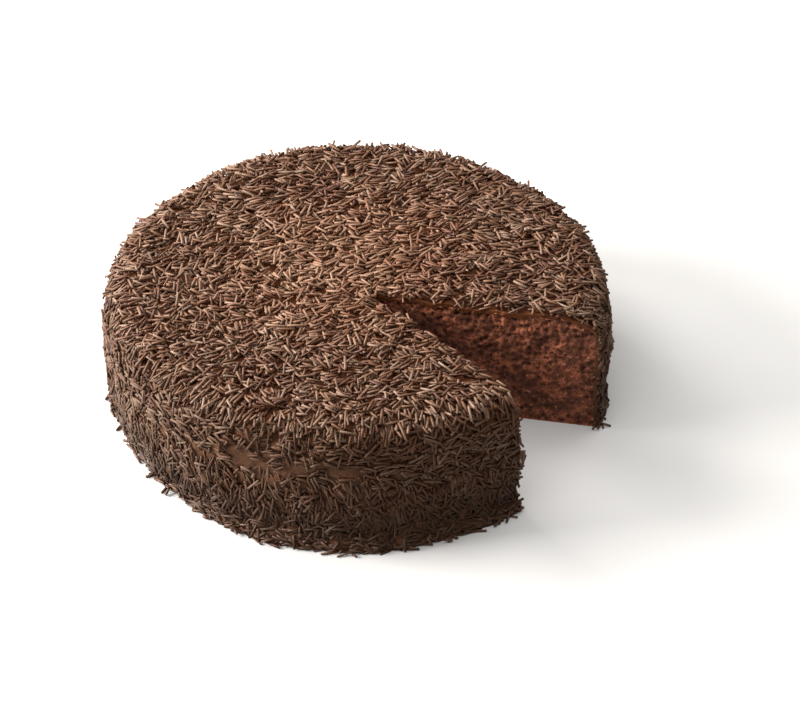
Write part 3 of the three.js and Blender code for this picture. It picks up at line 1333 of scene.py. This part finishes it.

# %% [markdown]
# ## Turning the resting sprinkles into meshes
#
# Each sprinkle is set where it came to rest: its middle goes out from the surface by its height, and its
# line leans by its slope. The few that would stand high above the top are lowered. Each also gets a turn
# about its own line, a slight bow and a tone. On the coat the tone then follows the place: each pinch
# has its own, sprinkles are lighter in a wide zone left of the middle, the left side, where the key lamp
# falls, is made lighter as painted light, and the film of icing on the pressed side draws them towards
# one darker tone, less so on that lit left side. Round the foot the tone is lowered as painted shade.
#
# One that others cover almost completely is left out, and one that is mostly covered gets the plain rod.
# The copies are joined into one mesh for each part of the cake, so that no mesh grows past 200 000
# triangles.

# %% Frames and manners
PINCH_TONE = 0.22
LIGHT_X, LIGHT_Y, LIGHT_SPREAD, LIGHT_TONE = -20 * MM, 8 * MM, 42 * MM, 0.6
LEFT_SIDE_PAINTED_LIGHT = 0.55
FILM_TONE, FILM_SHARE, FILM_LOW = 0.52, 0.3, 0.3
FOOT_PAINTED_SHADE = 0.66
SHORT, SHORT_TONE = 3 * MM, 0.3
BOW, BENT_SHARE, BENT_MORE = 0.12 * MM, 0.2, 3
HIGHEST_TOP, LOWEST_FOOT = cake_height + 2.2 * MM, 0.02 * MM


def flat_frame(s, turn):
    """Points on the table, with the directions outwards, round the cake and up."""
    outwards = np.stack([np.cos(turn), np.sin(turn), 0 * s], axis=-1)
    along = np.stack([-np.sin(turn), np.cos(turn), 0 * s], axis=-1)
    place = np.array([axis_x, axis_y, 0]) + s[:, None] * outwards
    return place, outwards, along, np.full_like(place, (0, 0, 1))


def add_manner(rods):
    """Gives each sprinkle its own turn, bow and tone."""
    count = len(rods["s"])
    rods["spin"] = rng.uniform(0, 2 * np.pi, count)
    rods["bow"] = rng.normal(0, BOW, count)
    rods["bow"][rng.random(count) < BENT_SHARE] *= BENT_MORE
    rods["tone"] = rng.beta(2.2, 2.2, count) + SHORT_TONE * (rods["length"] < SHORT)


def tone_by_place(rods, down_side, low_side, looser_and_lit):
    """The tones of sprinkles on the coat, changed by where each of them lies."""
    s, turn = rods["s"], rods["turn"]
    from_light = np.hypot(s * np.cos(turn) - LIGHT_X, s * np.sin(turn) - LIGHT_Y)
    tone = rods["tone"] + PINCH_TONE * pinch_tone[pinch_at(s, turn)]
    tone += LIGHT_TONE * np.exp(-((from_light / LIGHT_SPREAD) ** 2))
    # Painted light: sprinkles on the left side, where the key lamp falls, are made lighter.
    tone *= 1 + LEFT_SIDE_PAINTED_LIGHT * looser_and_lit * down_side
    film = (FILM_SHARE + FILM_LOW * low_side) * down_side * (1 - looser_and_lit)
    return tone + film * (FILM_TONE - tone)


# %% Place copies of a pattern
def copies(pattern, frame_at, rods, sunk):
    """The corners of one copy of the pattern for each sprinkle."""
    place, down, along, out = frame_at(rods["s"], rods["turn"])
    aim = rods["aim"][:, None]
    line = unit(np.cos(aim) * down + np.sin(aim) * along + rods["slope"][:, None] * out)
    side = unit(np.cross(out, line))
    up = unit(np.cross(line, side))
    middle = place + (rods["held"] + rods["thickness"] - sunk)[:, None] * out
    length, grow = rods["length"][:, None], (rods["thickness"] / SPRINKLE_RADIUS)[:, None]
    spin = rods["spin"][:, None]
    x, y, z = pattern.places.T
    reach = z + np.sign(z) * (length - SPRINKLE_LENGTH) / 2
    bow = rods["bow"][:, None] * (1 - (2 * reach / length) ** 2)
    across = (x * np.cos(spin) - y * np.sin(spin)) * grow + bow
    upward = (x * np.sin(spin) + y * np.cos(spin)) * grow
    corners = middle[:, None] + sum(
        amount[..., None] * direction[:, None]
        for amount, direction in ((reach, line), (across, side), (upward, up))
    )
    too_high = (corners[..., 2].max(axis=1) - HIGHEST_TOP).clip(0)
    corners[..., 2] = np.maximum(corners[..., 2] - too_high[:, None], LOWEST_FOOT)
    return corners


MAP_EDGE = 0.04


def join_copies(name, made, finish):
    """One piece of many copies. Each entry of made holds a pattern, its corners and their tones."""
    total = sum(len(corners) for _, corners, _ in made)
    map_side = math.ceil(math.sqrt(total))
    places, faces, maps, tones, first, cell = [], [], [], [], 0, 0
    for pattern, corners, tone in made:
        count, per_copy = corners.shape[:2]
        starts = first + per_copy * np.arange(count)
        places.append(corners.reshape(-1, 3))
        faces.append((pattern.faces[None] + starts[:, None, None]).reshape(-1, 3))
        number = cell + np.arange(count)
        corner = np.stack([number % map_side, number // map_side], axis=-1)
        maps.append((corner[:, None] + MAP_EDGE + (1 - 2 * MAP_EDGE) * pattern.map).ravel())
        tones.append(np.repeat(tone, per_copy))
        first += count * per_copy
        cell += count
    mesh = bpy.data.meshes.new(name)
    mesh.from_pydata(np.concatenate(places), [], np.concatenate(faces), shade_flat=False)
    bake_map = mesh.uv_layers.new(name="OFBake")
    bake_map.uv.foreach_set("vector", (np.concatenate(maps) / map_side).astype(np.float32))
    tone = mesh.attributes.new("tone", "FLOAT", "POINT")
    tone.data.foreach_set("value", np.concatenate(tones).astype(np.float32))
    mesh.materials.append(finish)
    piece = bpy.data.objects.new(name, mesh)
    bpy.context.collection.objects.link(piece)
    print(f"{name}: {total} sprinkles, {len(mesh.polygons)} triangles")
    return piece


# %% The sprinkle pieces
LEAST_SHOWN, WORN_SHOWN = 0.06, 0.3

add_manner(coat_rods)
coat_rods["tone"] = tone_by_place(coat_rods, down_side, low_side, looser_and_lit)
add_manner(foot_rods)
# Painted shade: the sprinkles round the foot are darker, as they lie in the cake's shade.
foot_rods["tone"] *= FOOT_PAINTED_SHADE
at_back = np.sin(rod_turn) > 0
on_side = rod_s >= FRINGE_END
zones = {
    "top_back": on_top & at_back,
    "top_front": on_top & ~at_back,
    "edge": ~on_top & ~on_side,
    "side_back": on_side & at_back,
    "side_front": on_side & ~at_back,
}
sprinkle_pieces = []
for zone, here in zones.items():
    made = []
    for pattern, low, high in ((worn_rod, WORN_SHOWN, 2), (plain_rod, LEAST_SHOWN, WORN_SHOWN)):
        which = here & (shown >= low) & (shown < high)
        rods = {name: values[which] for name, values in coat_rods.items()}
        sunk = icing_depth(rods["s"], rods["turn"])
        made.append((pattern, copies(pattern, skin_frame, rods, sunk), rods["tone"]))
    finish = pressed_shaded_chocolate if zone.startswith("side") else loose_chocolate
    sprinkle_pieces.append(join_copies("sprinkles_" + zone, made, finish))
foot_made = [(worn_rod, copies(worn_rod, flat_frame, foot_rods, 0), foot_rods["tone"])]
sprinkle_pieces.append(join_copies("sprinkles_foot", foot_made, foot_chocolate))

# %% [markdown]
# ## Handing over
#
# Every piece rides on the cake's one body. The icing stands for the CAD coat and the crumb for the CAD
# sponge, and both boxes are written down so that they can be compared.

# %% Ride, replace and finish
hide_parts("icing_coat")
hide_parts("sponge")
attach(sponge, "root")
for piece in (icing, *sprinkle_pieces):
    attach(piece, "root")

visual_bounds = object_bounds()
print("boxes in mm:")
for name, bounds in (("CAD", cad_bounds), ("visual", visual_bounds)):
    print(name, [[round(c / MM, 1) for c in corner] for corner in bounds])
